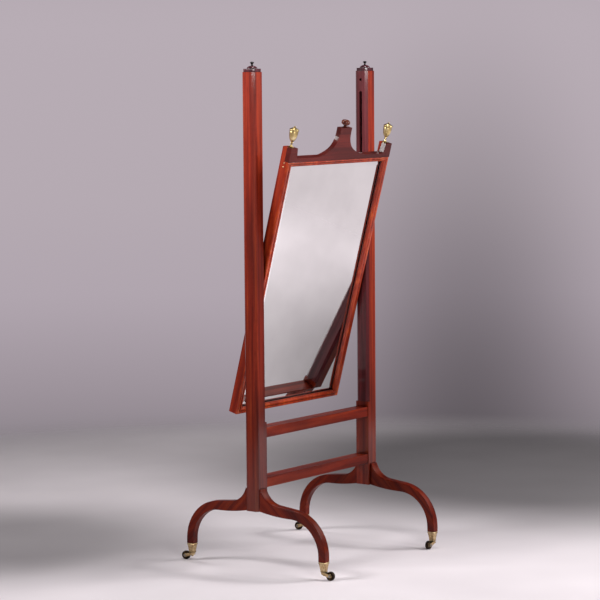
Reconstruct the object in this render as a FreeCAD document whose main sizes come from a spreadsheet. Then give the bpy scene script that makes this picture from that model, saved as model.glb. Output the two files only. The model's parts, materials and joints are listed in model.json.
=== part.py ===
import FreeCAD, Part
import math
import os
from types import SimpleNamespace

import Sketcher

# Rising cheval mirror.  Two hollow posts on swept legs carry a mirror that slides up and down
# and tilts.  Frame: origin on the floor midway between the posts, +Z up, the glass faces -Y.
# Every size is in millimetres, every angle in degrees.
SIZES = [
    # stand
    ("post_spacing", 600, "between the centres of the posts"),
    ("post_width", 50, "across the faces of a post"),
    ("post_bottom", 190, "underside of the posts above the floor"),
    ("post_top", 1566, "top of the posts above the floor"),
    ("post_chamfer", 8, "chamfer of the post corners, and thickness of the slotted cheek"),
    ("box_bottom", 470, "where the hollow part of a post begins"),
    ("channel_width", 33, "front to back inside the hollow post"),
    ("channel_wall", 8.5, "outer wall of the hollow post"),
    ("slot_width", 10, "slot in the cheek"),
    ("slot_bottom", 880, "lower end of the slot"),
    ("slot_top", 1500, "upper end of the slot"),
    ("sheave_hole", 9, "hole in the cheek beside the pulley"),
    ("rail_height", 32, "height of a stand rail"),
    ("rail_depth", 46, "front to back of a stand rail"),
    ("lower_rail_bottom", 262, "underside of the lower rail"),
    ("upper_rail_bottom", 420.5, "underside of the upper rail"),
    ("rail_tenon", 30, "length of a rail tenon"),
    ("rail_tenon_thickness", 14, "thickness of a rail tenon"),
    ("tenon_shoulder", 5, "shoulder above and below a tenon"),
    ("collar_height", 10, "cap block on a post"),
    ("collar_inset", 2.5, "step from the post face to the cap block"),
    ("collar_spigot", 8, "part of the cap block inside the post"),
    ("cap_radius", 17, "turned dome on the cap block"),
    ("cap_height", 22, "turned dome and knob"),
    ("knob_radius", 6.5, "knob on the dome"),
    ("stud_radius", 3, "turned stud under a knob or a finial"),
    ("stud_length", 8, "turned stud under a knob or a finial"),
    ("fillet_height", 2, "plain fillet at the foot of a knob"),
    # legs
    ("leg_end", 56, "end of the wooden leg above the floor"),
    ("leg_root_thickness", 32, "leg at the post, seen from the front"),
    ("leg_toe_thickness", 24, "leg at the caster, seen from the front"),
    ("knee_height", 70, "centre of the knee curves above the floor"),
    ("outer_knee", 137, "radius of the top of the knee"),
    ("outer_knee_reach", 140, "its centre from the post centre"),
    ("inner_knee", 108, "radius of the underside of the knee"),
    ("inner_knee_reach", 143, "its centre from the post centre"),
    ("leg_slope", 6, "slope of the leg between the cove and the knee"),
    ("cove_reach", 88, "end of the cove from the post centre"),
    ("cove_radius", 68, "cove where the leg meets the post"),
    ("leg_top", 261, "top of the leg against the post"),
    ("leg_tenon", 22, "length of a leg tenon"),
    ("leg_tenon_thickness", 12, "thickness of a leg tenon"),
    ("leg_tenon_drop", 10, "top of a leg tenon below the top of the leg"),
    # casters
    ("cup_wall", 1.5, "brass cup wall"),
    ("cup_bottom", 24, "underside of the cup above the floor"),
    ("cup_play", 1.5, "between the toe of the leg and the cup"),
    ("cup_floor", 8, "thickness of the cup floor"),
    ("cup_toe", 17, "width of the cup at its underside"),
    ("caster_radius", 14, "caster wheel"),
    ("caster_width", 12, "caster wheel"),
    ("caster_trail", 24, "wheel centre from the swivel axis"),
    ("caster_axle", 2, "radius of the wheel axle"),
    ("caster_stem", 3, "radius of the swivel stem"),
    ("crown_radius", 9, "swivel crown"),
    ("crown_height", 5.7, "swivel crown"),
    ("rivet_radius", 4, "riveted lower end of the swivel stem"),
    ("rivet_drop", 7, "riveted lower end of the swivel stem"),
    ("fork_arm", 2.5, "thickness of a fork arm"),
    ("axle_head", 3.6, "radius of an axle head"),
    ("axle_head_height", 1, "axle head"),
    ("fork_play", 0.5, "beside the wheel in its fork"),
    # lift
    ("pulley_height", 1537, "pulley axis above the floor"),
    ("cord_radius", 1.5, "lifting cord"),
    ("pulley_rim", 10.5, "radius of the pulley rim"),
    ("pulley_width", 8, "pulley"),
    ("pulley_flange", 1, "pulley flange"),
    ("pulley_pin", 2, "radius of the pulley pin"),
    ("carriage_thickness", 9.4, "slide block in the post"),
    ("carriage_below", 30, "slide block below the pivot"),
    ("carriage_above", 50, "slide block above the pivot"),
    ("weight_thickness", 22, "lead weight, side to side"),
    ("weight_depth", 30, "lead weight, front to back"),
    ("weight_length", 560, "lead weight"),
    ("weight_drop", 27, "top of the weight below the pulley axis when the mirror is down"),
    # pivot
    ("pivot_height", 915, "tilt axis above the floor when the mirror is down"),
    ("pivot_pin", 4, "radius of the pivot pin"),
    ("pin_collar", 4.7, "radius of the pin where it passes the slot"),
    ("pin_entry", 12.3, "pin inside the mirror stile"),
    ("bush_radius", 7, "barrel of the pivot bush"),
    ("bush_flange", 8.6, "radius of the bush flange"),
    ("bush_flange_thickness", 1.5, "bush flange, let in flush"),
    ("bush_length", 14, "pivot bush"),
    ("washer_thickness", 2.7, "leather friction washer"),
    # mirror frame, heights from the pivot
    ("mirror_tilt", 15, "forward lean of the mirror at rest"),
    ("mirror_width", 540, "over the stiles"),
    ("mirror_depth", 34, "front to back of the mirror frame"),
    ("frame_drop", 443, "bottom edge of the frame below the pivot"),
    ("sight_rise", 373, "top edge of the visible glass above the pivot"),
    ("stile_width", 25, "front of a stile"),
    ("bottom_rail", 20, "height of the bottom rail"),
    ("top_moulding", 15, "height of the top moulding"),
    ("moulding_thickness", 8, "moulding planted on the front"),
    ("rebate", 8, "width of the glass rebate"),
    ("frame_tenon_inset", 4, "bottom rail tenon from the back of the frame and of the glass"),
    ("frame_shoulder", 2, "shoulder above and below the bottom rail tenon"),
    ("reveal", 13, "front face of the frame to the glass"),
    ("glass_thickness", 5, "bevelled plate"),
    ("bevel_width", 24, "bevel of the plate"),
    ("bevel_depth", 2.5, "bevel of the plate"),
    ("block_depth", 8.6, "glazing blocks"),
    ("block_length", 40, "glazing blocks"),
    ("backboard_thickness", 6, "backboard"),
    ("backboard_inset", 1, "backboard behind the back of the frame"),
    ("panel_margin", 45, "border round the raised field of the backboard"),
    ("panel_groove", 2, "groove round the field of the backboard"),
    ("screw_head", 3.5, "radius of a backboard screw head"),
    ("screw_countersink", 1, "domed edge of a screw head"),
    ("screw_slit", 1.2, "driver slit"),
    # crest, heights from its lower edge
    ("crest_thickness", 17, "crest board"),
    ("horn_rise", 45.5, "top of a horn"),
    ("horn_width", 33, "top of a horn"),
    ("horn_foot", 11, "the inside of a horn spreads to its foot"),
    ("saddle_rise", 12.5, "lowest part of the crest"),
    ("plateau_rise", 105, "top of the middle of the crest"),
    ("plateau_width", 58, "top of the middle of the crest"),
    ("neck_rise", 86, "where the sides of the middle begin to curve"),
    ("neck_radius", 60, "tight part of that curve"),
    ("neck_sweep", 62, "turn of the tight part"),
    ("top_rail_rise", 11, "top of the rail behind the crest"),
    ("finial_height", 67, "urn finial"),
    ("finial_radius", 15, "rim of the urn"),
    ("finial_inset", 18, "finial centre from the side of the frame"),
    ("crest_knob_radius", 14, "flattened knob on the crest"),
    ("crest_knob_height", 17, "flattened knob on the crest"),
    ("crest_neck", 7.5, "neck under the knob"),
    # fits
    ("running", 0.05, "radial clearance of a turning pin"),
    ("gap", 0.3, "between pieces that move past each other"),
    ("weight_play", 0.45, "between a weight and the outer wall of its post"),
    ("glass_play", 0.5, "glass and backboard in the rebate"),
]

# The way each caster points: degrees from +X, seen from above.
CASTER_ANGLES = {"left_back": 97, "right_back": 92, "left_front": -84, "right_front": -178}

doc = FreeCAD.newDocument("ChevalMirror")
sheet = doc.addObject("Spreadsheet::Sheet", "Sizes")
for row, (alias, value, note) in enumerate(SIZES, 1):
    sheet.set(f"A{row}", alias)
    sheet.set(f"B{row}", str(value))
    sheet.set(f"C{row}", note)
    sheet.setAlias(f"B{row}", alias)
doc.recompute()


class Size:
    """A number together with the spreadsheet expression that gives it."""

    def __init__(self, number, text=None):
        self.number = float(number)
        self.text = text or repr(float(number))

    def join(self, sign, number, other):
        return Size(number, f"({self.text} {sign} {other.text})")

    def __add__(self, other):
        other = as_size(other)
        return self.join("+", self.number + other.number, other)

    def __sub__(self, other):
        other = as_size(other)
        return self.join("-", self.number - other.number, other)

    def __mul__(self, other):
        other = as_size(other)
        return self.join("*", self.number * other.number, other)

    def __truediv__(self, other):
        other = as_size(other)
        return self.join("/", self.number / other.number, other)

    def __radd__(self, other):
        return as_size(other) + self

    def __rsub__(self, other):
        return as_size(other) - self

    def __rmul__(self, other):
        return as_size(other) * self

    def __neg__(self):
        return self * -1


def as_size(value):
    return value if isinstance(value, Size) else Size(value)


def sine(angle):
    return Size(math.sin(math.radians(angle.number)), f"sin({angle.text})")


def cosine(angle):
    return Size(math.cos(math.radians(angle.number)), f"cos({angle.text})")


def root(size):
    return Size(math.sqrt(size.number), f"sqrt({size.text})")


d = SimpleNamespace(**{alias: Size(value, f"Sizes.{alias}") for alias, value, _ in SIZES})

# ---------------------------------------------------------------- modelling helpers
nodes = {}


def body_for(label, keep=True):
    body = doc.addObject("PartDesign::Body", label)
    body.Label = label
    if keep:
        nodes[label] = body
    return body


def outline(sketch, path):
    """Closed outline.  path[0] is the start; each later entry is the end of a line, or with a
    radius the end of an arc, positive when it turns left.  Arcs turn less than half round."""
    corners = [tuple(as_size(v) for v in entry) for entry in path[1:]] + [path[0][:2]]
    here = tuple(as_size(v) for v in path[0])
    ends = []
    for corner in corners:
        x, y = as_size(corner[0]), as_size(corner[1])
        start = FreeCAD.Vector(here[0].number, here[1].number, 0)
        stop = FreeCAD.Vector(x.number, y.number, 0)
        if start.distanceToPoint(stop) < 1e-6:
            continue
        if len(corner) == 2:
            edge = sketch.addGeometry(Part.LineSegment(start, stop))
            first, last = 1, 2
        else:
            radius = abs(corner[2].number)
            left = corner[2].number > 0
            chord = stop - start
            side = FreeCAD.Vector(-chord.y, chord.x, 0).normalize() * (1 if left else -1)
            rise = math.sqrt(max(radius ** 2 - (chord.Length / 2) ** 2, 0))
            centre = start + chord / 2 + side * rise
            angles = [math.atan2(p.y - centre.y, p.x - centre.x) for p in (start, stop)]
            if not left:
                angles.reverse()
            circle = Part.Circle(centre, FreeCAD.Vector(0, 0, 1), radius)
            edge = sketch.addGeometry(Part.ArcOfCircle(circle, *angles))
            first, last = (1, 2) if left else (2, 1)
            text = corner[2].text if left else (-corner[2]).text
            bind(sketch, Sketcher.Constraint("Radius", edge, radius), text)
        ends.append((edge, first, last, here))
        here = (x, y)
    for place, (edge, first, _, point) in enumerate(ends):
        before, _, joint, _ = ends[place - 1]
        sketch.addConstraint(Sketcher.Constraint("Coincident", before, joint, edge, first))
        for way, size in zip(("DistanceX", "DistanceY"), point):
            bind(sketch, Sketcher.Constraint(way, -1, 1, edge, first, size.number), size.text)


def bind(sketch, constraint, text):
    number = sketch.addConstraint(constraint)
    sketch.setExpression(f"Constraints[{number}]", text)


def circle(sketch, x, y, radius):
    x, y, radius = as_size(x), as_size(y), as_size(radius)
    centre = FreeCAD.Vector(x.number, y.number, 0)
    edge = sketch.addGeometry(Part.Circle(centre, FreeCAD.Vector(0, 0, 1), radius.number))
    bind(sketch, Sketcher.Constraint("DistanceX", -1, 1, edge, 3, x.number), x.text)
    bind(sketch, Sketcher.Constraint("DistanceY", -1, 1, edge, 3, y.number), y.text)
    bind(sketch, Sketcher.Constraint("Radius", edge, radius.number), radius.text)


def drawing(body, plane, place, shapes):
    """Sketch on one of the body's origin planes, moved along the axis it faces."""
    sketch = body.newObject("Sketcher::SketchObject", "Sketch")
    face = [p for p in body.Origin.OriginFeatures if p.Role == f"{plane}_Plane"][0]
    sketch.AttachmentSupport = [(face, "")]
    sketch.MapMode = "FlatFace"
    place = as_size(place)
    sketch.setExpression("AttachmentOffset.Base.z", (-place if plane == "XZ" else place).text)
    for shape in shapes:
        if isinstance(shape, list):
            outline(sketch, shape)
        else:
            circle(sketch, *shape)
    return sketch


def pad(body, plane, low, high, *shapes):
    """Material between low and high along the axis across the plane."""
    low, high = as_size(low), as_size(high)
    feature = body.newObject("PartDesign::Pad", "Pad")
    feature.Profile = drawing(body, plane, high if plane == "XZ" else low, shapes)
    feature.setExpression("Length", (high - low).text)
    return feature


def pocket(body, plane, low, high, *shapes):
    """Cut between low and high along the axis across the plane."""
    low, high = as_size(low), as_size(high)
    feature = body.newObject("PartDesign::Pocket", "Pocket")
    feature.Profile = drawing(body, plane, low if plane == "XZ" else high, shapes)
    feature.setExpression("Length", (high - low).text)
    return feature


def turned(body, path):
    """Solid of revolution about the body's Z axis; path is (radius, height)."""
    feature = body.newObject("PartDesign::Revolution", "Revolution")
    sketch = drawing(body, "XZ", 0, [path])
    feature.Profile = sketch
    feature.ReferenceAxis = (sketch, ["V_Axis"])
    feature.Angle = 360
    return feature


def loft(body, plane, low, low_shape, high, high_shape, cut=False):
    kind = "PartDesign::SubtractiveLoft" if cut else "PartDesign::AdditiveLoft"
    feature = body.newObject(kind, "Loft")
    feature.Profile = drawing(body, plane, low, [low_shape])
    feature.Sections = [drawing(body, plane, high, [high_shape])]
    feature.Ruled = True
    return feature


def box(x0, x1, y0, y1):
    return [(x0, y0), (x1, y0), (x1, y1), (x0, y1)]


def centred(width, depth):
    return box(-(width / 2), width / 2, -(depth / 2), depth / 2)


def octagon(width, chamfer):
    half = width / 2
    flat = half - chamfer
    return [(-flat, -half), (flat, -half), (half, -flat), (half, flat),
            (flat, half), (-flat, half), (-half, flat), (-half, -flat)]


def turn(axis, angle):
    return FreeCAD.Rotation(FreeCAD.Vector(*axis), angle)


def placed(x=0, y=0, z=0, rotation=None):
    numbers = [as_size(v).number for v in (x, y, z)]
    return FreeCAD.Placement(FreeCAD.Vector(*numbers), rotation or FreeCAD.Rotation())


def group(label, pieces):
    """One node of several identical loose pieces."""
    compound = doc.addObject("Part::Compound", label)
    compound.Label = label
    compound.Links = pieces
    nodes[label] = compound


def copies(master, placements):
    """The master at the first placement and links to it at the others."""
    master.Placement = placements[0]
    found = [master]
    for placement in placements[1:]:
        link = doc.addObject("App::Link", f"{master.Name}_copy")
        link.LinkedObject = master
        link.Placement = placement
        found.append(link)
    return found


# ---------------------------------------------------------------- shared places
half_post = d.post_width / 2
cheek_face = half_post - d.post_chamfer
channel_end = half_post - d.channel_wall
half_channel = d.channel_width / 2
inner_clear = d.post_spacing / 2 - half_post
carriage_out = cheek_face - d.gap
carriage_in = carriage_out - d.carriage_thickness
carriage_line = (carriage_out + carriage_in) / 2
weight_out = -channel_end + d.weight_play
weight_in = weight_out + d.weight_thickness
weight_line = (weight_out + weight_in) / 2
pulley_line = (carriage_line + weight_line) / 2
pulley_pitch = (carriage_line - weight_line) / 2
weight_top = d.pulley_height - d.weight_drop
carriage_top = d.pivot_height + d.carriage_above
foot_reach = ((d.outer_knee_reach + d.outer_knee) + (d.inner_knee_reach + d.inner_knee)) / 2
foot_depth = (d.outer_knee_reach + d.outer_knee) - (d.inner_knee_reach + d.inner_knee)
toe_step = 2 * (d.cup_wall + d.cup_play)
toe_narrow = d.cup_toe - toe_step
toe_bottom = d.cup_bottom + d.cup_floor
half_mirror = d.mirror_width / 2
sight_x = half_mirror - d.stile_width
sight_bottom = -d.frame_drop + d.bottom_rail
crest_bottom = d.sight_rise + d.top_moulding
front = -(d.mirror_depth / 2)
back = d.mirror_depth / 2
frame_front = front + d.moulding_thickness
glass_front = front + d.reveal
crest_back = front + d.crest_thickness
horn_top = crest_bottom + d.horn_rise
finial_x = half_mirror - d.finial_inset
frame_tenon_front = glass_front + d.frame_tenon_inset
frame_tenon_back = back - d.frame_tenon_inset
frame_tenon_low = d.frame_shoulder - d.frame_drop
frame_tenon_high = sight_bottom - d.rebate - d.frame_shoulder
plate_x = sight_x + d.rebate - d.glass_play
plate_low = sight_bottom - d.rebate + d.glass_play
plate_high = d.sight_rise + d.rebate - d.glass_play
board_back = back - d.backboard_inset
board_front = board_back - d.backboard_thickness

# A post, its cheek and all they hold are drawn with +X pointing to the other post.
POSTS = {
    "left": placed(-(d.post_spacing / 2)),
    "right": placed(d.post_spacing / 2, rotation=turn((0, 0, 1), 180)),
}
# The mirror is drawn upright with the pivot at the origin, then leant forward.
MIRROR = placed(z=d.pivot_height, rotation=turn((1, 0, 0), d.mirror_tilt.number))


# ---------------------------------------------------------------- stand
def rail_mortise(bottom):
    half = d.rail_tenon_thickness / 2
    return box(-half, half, bottom + d.tenon_shoulder, bottom + d.rail_height - d.tenon_shoulder)


def leg_mortise():
    half = d.leg_tenon_thickness / 2
    return box(-half, half, d.post_bottom + d.tenon_shoulder, d.leg_top - d.leg_tenon_drop)


def post(side):
    body = body_for(f"{side}_post")
    pad(body, "XY", d.post_bottom, d.post_top, centred(d.post_width, d.post_width))
    for way in (-1, 1):
        corner = [(-half_post, way * half_post), (-half_post, way * cheek_face),
                  (-cheek_face, way * half_post)]
        pocket(body, "XY", d.post_bottom, d.post_top, corner)
    hollow = box(-channel_end, half_post, -half_channel, half_channel)
    pocket(body, "XY", d.box_bottom, d.post_top, hollow)
    seat = box(cheek_face, half_post, -half_post, half_post)
    pocket(body, "XY", d.box_bottom, d.post_top, seat)
    for bottom in (d.lower_rail_bottom, d.upper_rail_bottom):
        pocket(body, "YZ", half_post - d.rail_tenon, half_post, rail_mortise(bottom))
    pocket(body, "XZ", half_post - d.leg_tenon, half_post, leg_mortise())
    pocket(body, "XZ", -half_post, d.leg_tenon - half_post, leg_mortise())
    pin_end = half_channel + d.channel_wall / 2
    pin_hole = (-pin_end, half_post) if side == "left" else (-half_post, pin_end)
    pocket(body, "XZ", *pin_hole, (pulley_line, d.pulley_height, d.pulley_pin))
    body.Placement = POSTS[side]


def cheek(side):
    body = body_for(f"{side}_cheek")
    section = [(cheek_face, -half_post), (half_post, -cheek_face),
               (half_post, cheek_face), (cheek_face, half_post)]
    pad(body, "XY", d.box_bottom, d.post_top, section)
    half = d.slot_width / 2
    low, high = d.slot_bottom + half, d.slot_top - half
    slot = [(half, low), (half, high), (0, high + half, half), (-half, high, half),
            (-half, low), (0, low - half, half), (half, low, half)]
    pocket(body, "YZ", cheek_face, half_post, slot)
    pocket(body, "YZ", cheek_face, half_post, (0, d.pulley_height, d.sheave_hole / 2))
    body.Placement = POSTS[side]


def cap(side):
    body = body_for(f"{side}_post_cap")
    width = d.post_width - 2 * d.collar_inset
    top = d.post_top + d.collar_height
    pad(body, "XY", d.post_top, top, octagon(width, d.post_chamfer - d.collar_inset / 2))
    spigot = box(d.gap - channel_end, cheek_face, d.gap - half_channel, half_channel - d.gap)
    pad(body, "XY", d.post_top - d.collar_spigot, d.post_top, spigot)
    pocket(body, "XY", top - d.stud_length, top, (0, 0, d.stud_radius))
    body.Placement = POSTS[side]


def cap_knob(side):
    body = body_for(f"{side}_cap_knob")
    base = d.post_top + d.collar_height
    knob = base + d.cap_height - d.knob_radius
    shoulder = base + d.cap_height / 3
    neck = d.knob_radius * 0.6
    fall = root(d.knob_radius * d.knob_radius - neck * neck)
    turned(body, [(0, base - d.stud_length), (d.stud_radius, base - d.stud_length),
                  (d.stud_radius, base), (d.cap_radius, base),
                  (d.cap_radius, base + d.fillet_height),
                  (d.cap_radius * 0.55, shoulder, d.cap_radius * 0.8), (neck, shoulder + 1),
                  (neck, knob - fall), (d.knob_radius, knob, d.knob_radius),
                  (0, knob + d.knob_radius, d.knob_radius)])
    body.Placement = POSTS[side]


def stand_rail(name, bottom):
    body = body_for(name)
    half_depth = d.rail_depth / 2
    section = box(-half_depth, half_depth, bottom, bottom + d.rail_height)
    pad(body, "YZ", -inner_clear, inner_clear, section)
    tenon = inner_clear + d.rail_tenon
    pad(body, "YZ", -tenon, tenon, rail_mortise(bottom))


def leg(side, end):
    """Swept leg drawn reaching to +X from the post centre, turned to the front or the back."""
    body = body_for(f"{side}_{end}_leg")
    knee_end = 90 - d.leg_slope
    knee_x = d.outer_knee_reach + d.outer_knee * cosine(knee_end)
    knee_z = d.knee_height + d.outer_knee * sine(knee_end)
    run = (knee_x - d.cove_reach) / cosine(d.leg_slope)
    cove_z = knee_z + run * sine(d.leg_slope)
    cove_x = d.cove_reach + d.cove_radius * sine(d.leg_slope)
    cove_centre = cove_z + d.cove_radius * cosine(d.leg_slope)
    fall = cove_centre - d.leg_top
    tip_x = cove_x - root(d.cove_radius * d.cove_radius - fall * fall)
    underside = d.knee_height + d.inner_knee
    step = d.inner_knee_reach - half_post
    rise = d.post_bottom - underside
    sweep = (step * step + rise * rise) / (2 * rise)
    toe_in = d.inner_knee_reach + d.inner_knee
    toe_out = d.outer_knee_reach + d.outer_knee
    path = [(half_post, d.post_bottom),
            (d.inner_knee_reach, underside, sweep),
            (toe_in, d.knee_height, -d.inner_knee),
            (toe_in, d.leg_end), (toe_out, d.leg_end), (toe_out, d.knee_height),
            (knee_x, knee_z, d.outer_knee),
            (d.cove_reach, cove_z),
            (tip_x, d.leg_top, -d.cove_radius),
            (half_post, d.leg_top)]
    half_root = d.leg_root_thickness / 2
    half_toe = d.leg_toe_thickness / 2
    pad(body, "XZ", -half_root, half_root, path)
    for way in (-1, 1):
        waste = [(half_post, way * half_root), (toe_out, way * half_toe),
                 (toe_out, way * half_root)]
        pocket(body, "XY", d.leg_end, d.leg_top, waste)
    half = d.leg_tenon_thickness / 2
    tenon = box(half_post - d.leg_tenon, half_post, -half, half)
    bottom = d.post_bottom + d.tenon_shoulder
    pad(body, "XY", bottom, d.leg_top - d.leg_tenon_drop, tenon)
    loft(body, "XY", toe_bottom, foot_section(toe_narrow, toe_narrow), d.leg_end,
         foot_section(foot_depth - toe_step, d.leg_toe_thickness - toe_step))
    heading = -90 if end == "front" else 90
    post_x = POSTS[side].Base.x
    body.Placement = placed(post_x, rotation=turn((0, 0, 1), heading))


def foot_section(width, depth):
    return box(foot_reach - width / 2, foot_reach + width / 2, -(depth / 2), depth / 2)


# ---------------------------------------------------------------- casters
def foot_places():
    for side in ("left", "right"):
        for end, way in (("back", 1), ("front", -1)):
            yield side, end, POSTS[side].Base.x, way * foot_reach.number


def cup(side, end, x, y):
    """Square tapered brass cup that holds the toe of a leg."""
    body = body_for(f"{side}_{end}_cup")
    wide = d.leg_toe_thickness
    deep = foot_depth
    loft(body, "XY", d.cup_bottom, centred(d.cup_toe, d.cup_toe), d.leg_end, centred(wide, deep))
    loft(body, "XY", toe_bottom, centred(toe_narrow, toe_narrow), d.leg_end,
         centred(wide - toe_step, deep - toe_step), cut=True)
    pocket(body, "XY", d.cup_bottom, toe_bottom, (0, 0, d.caster_stem + d.running))
    body.Placement = placed(x, y)


def fork(side, end, x, y):
    """Swivel crown with two arms down to the wheel, drawn trailing to +X."""
    body = body_for(f"{side}_{end}_fork")
    top = d.cup_bottom - d.gap
    bottom = top - d.crown_height
    stem_top = toe_bottom - d.gap
    rivet = bottom - d.rivet_drop
    turned(body, [(0, rivet), (d.rivet_radius, rivet + d.rivet_radius, d.rivet_radius),
                  (d.rivet_radius, bottom), (d.crown_radius, bottom), (d.crown_radius, top),
                  (d.caster_stem, top), (d.caster_stem, stem_top), (0, stem_top)])
    inner = d.caster_width / 2 + d.fork_play
    outer = inner + d.fork_arm
    eye = 2.5 * d.caster_axle
    wheel = d.caster_radius
    trail = d.caster_trail
    side_view = [(-eye, top), (-eye, bottom), (trail, wheel - eye), (trail + eye, wheel, eye),
                 (trail, wheel + eye, eye), (eye, top)]
    pad(body, "XZ", inner, outer, side_view)
    pad(body, "XZ", -outer, -inner, side_view)
    pocket(body, "XZ", -outer, outer, (trail, wheel, d.caster_axle))
    body.Placement = placed(x, y, rotation=turn((0, 0, 1), CASTER_ANGLES[f"{side}_{end}"]))


def wheel_placement(side, end, x, y):
    swivel = placed(x, y, rotation=turn((0, 0, 1), CASTER_ANGLES[f"{side}_{end}"]))
    axle = placed(d.caster_trail, 0, d.caster_radius, turn((1, 0, 0), 90))
    return swivel.multiply(axle)


def wheel(side, end, x, y):
    body = body_for(f"{side}_{end}_wheel")
    half = d.caster_width / 2
    bore = d.caster_axle + d.running
    rim = d.caster_radius
    crown = half / 3
    turned(body, [(bore, -half), (rim - crown, -half), (rim, crown - half, crown),
                  (rim, half - crown), (rim - crown, half, crown), (bore, half)])
    body.Placement = wheel_placement(side, end, x, y)


def axle(side, end, x, y):
    body = body_for(f"{side}_{end}_axle")
    half = d.caster_width / 2 + d.fork_play + d.fork_arm
    tip = half + d.axle_head_height
    turned(body, [(0, -tip), (d.axle_head, -tip), (d.axle_head, -half), (d.caster_axle, -half),
                  (d.caster_axle, half), (d.axle_head, half), (d.axle_head, tip), (0, tip)])
    body.Placement = wheel_placement(side, end, x, y)


# ---------------------------------------------------------------- lift inside the posts
def pulley(side):
    body = body_for(f"{side}_pulley")
    half = d.pulley_width / 2
    root_radius = pulley_pitch - d.cord_radius - d.gap
    floor = d.cord_radius + d.gap
    bore = d.pulley_pin + d.running
    edge = half - d.pulley_flange
    turned(body, [(bore, -half), (d.pulley_rim, -half), (d.pulley_rim, -edge),
                  (root_radius, -floor), (root_radius, floor), (d.pulley_rim, edge),
                  (d.pulley_rim, half), (bore, half)])
    centre = placed(pulley_line, 0, d.pulley_height, turn((1, 0, 0), 90))
    body.Placement = POSTS[side].multiply(centre)


def pulley_pins():
    master = body_for("pulley_pin", keep=False)
    front_end = half_channel + d.channel_wall / 2
    turned(master, [(0, -front_end), (d.pulley_pin, -front_end), (d.pulley_pin, half_post),
                    (0, half_post)])
    to_back = turn((1, 0, 0), -90)
    line_x = d.post_spacing / 2 - pulley_line
    places = [placed(way * line_x, 0, d.pulley_height, to_back) for way in (-1, 1)]
    group("pulley_pins", copies(master, places))


def weight(side):
    body = body_for(f"{side}_counterweight")
    half = d.weight_depth / 2
    section = box(weight_out, weight_in, -half, half)
    pad(body, "XY", weight_top - d.weight_length, weight_top, section)
    body.Placement = POSTS[side]


def carriage(side):
    body = body_for(f"{side}_carriage")
    half = half_channel - d.gap
    section = box(carriage_in, carriage_out, -half, half)
    pad(body, "XY", d.pivot_height - d.carriage_below, carriage_top, section)
    pocket(body, "YZ", carriage_in, carriage_out, (0, d.pivot_height, d.pivot_pin))
    body.Placement = POSTS[side]


def pin_placement(side):
    return POSTS[side].multiply(placed(z=d.pivot_height, rotation=turn((0, 1, 0), 90)))


def pivot_pin(side):
    """Pin from the carriage, through the slot, into the bush of the stile."""
    body = body_for(f"{side}_pivot_pin")
    face = half_post + (inner_clear - half_mirror)
    collar_end = half_post + d.gap + d.washer_thickness
    end = face + d.pin_entry
    turned(body, [(0, carriage_in), (d.pivot_pin, carriage_in), (d.pivot_pin, carriage_out),
                  (d.pin_collar, carriage_out), (d.pin_collar, collar_end),
                  (d.pivot_pin, collar_end), (d.pivot_pin, end), (0, end)])
    body.Placement = pin_placement(side)


def friction_washers():
    master = body_for("friction_washer", keep=False)
    start = half_post + d.gap
    pad(master, "XY", start, start + d.washer_thickness, (0, 0, d.bush_flange), (0, 0, d.pin_collar))
    group("friction_washers", copies(master, [pin_placement("left"), pin_placement("right")]))


def cords():
    """Lifting cords: up from each carriage, over its pulley, down to its weight."""
    runs = {"carriage_cords": (carriage_line, carriage_top), "weight_cords": (weight_line, weight_top)}
    for name, (line, bottom) in runs.items():
        master = doc.addObject("Part::Cylinder", "cord_run")
        master.setExpression("Radius", d.cord_radius.text)
        master.setExpression("Height", (d.pulley_height - bottom).text)
        places = [POSTS[side].multiply(placed(line, 0, bottom)) for side in ("left", "right")]
        group(name, copies(master, places))
    bend = doc.addObject("Part::Torus", "cord_bend")
    bend.setExpression("Radius1", pulley_pitch.text)
    bend.setExpression("Radius2", d.cord_radius.text)
    bend.Angle3 = 180
    over = placed(pulley_line, 0, d.pulley_height, turn((1, 0, 0), 90))
    group("cord_bends", copies(bend, [POSTS[side].multiply(over) for side in ("left", "right")]))


# ---------------------------------------------------------------- mirror
def across(way, inner, outer):
    """Low and high X of a stretch that is mirrored on the left."""
    return (inner, outer) if way > 0 else (-outer, -inner)


def stile(side, way):
    """Side of the mirror frame, drawn upright; way is -1 on the left and 1 on the right."""
    body = body_for(f"{side}_stile")
    bottom = -d.frame_drop
    full = across(way, sight_x, half_mirror)
    pad(body, "XZ", frame_front, back, box(*full, bottom, crest_bottom))
    pad(body, "XZ", crest_back, back, box(*full, crest_bottom, horn_top))
    rebate = across(way, sight_x, sight_x + d.rebate)
    pocket(body, "XZ", glass_front, back,
           box(*rebate, sight_bottom - d.rebate, d.sight_rise + d.rebate))
    pocket(body, "XZ", frame_tenon_front, frame_tenon_back,
           box(*rebate, frame_tenon_low, frame_tenon_high))
    pocket(body, "YZ", *across(way, half_mirror - d.bush_length, half_mirror), (0, 0, d.bush_radius))
    flange = across(way, half_mirror - d.bush_flange_thickness, half_mirror)
    pocket(body, "YZ", *flange, (0, 0, d.bush_flange))
    stud_bottom = horn_top - d.stud_length
    pocket(body, "XY", stud_bottom, horn_top, (way * finial_x, crest_back, d.stud_radius))
    body.Placement = MIRROR


def bottom_rail():
    body = body_for("bottom_rail")
    bottom = -d.frame_drop
    pad(body, "XZ", frame_front, back, box(-sight_x, sight_x, bottom, sight_bottom))
    pocket(body, "XZ", glass_front, back,
           box(-sight_x, sight_x, sight_bottom - d.rebate, sight_bottom))
    reach = sight_x + d.rebate
    pad(body, "XZ", frame_tenon_front, frame_tenon_back,
        box(-reach, reach, frame_tenon_low, frame_tenon_high))
    body.Placement = MIRROR


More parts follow.
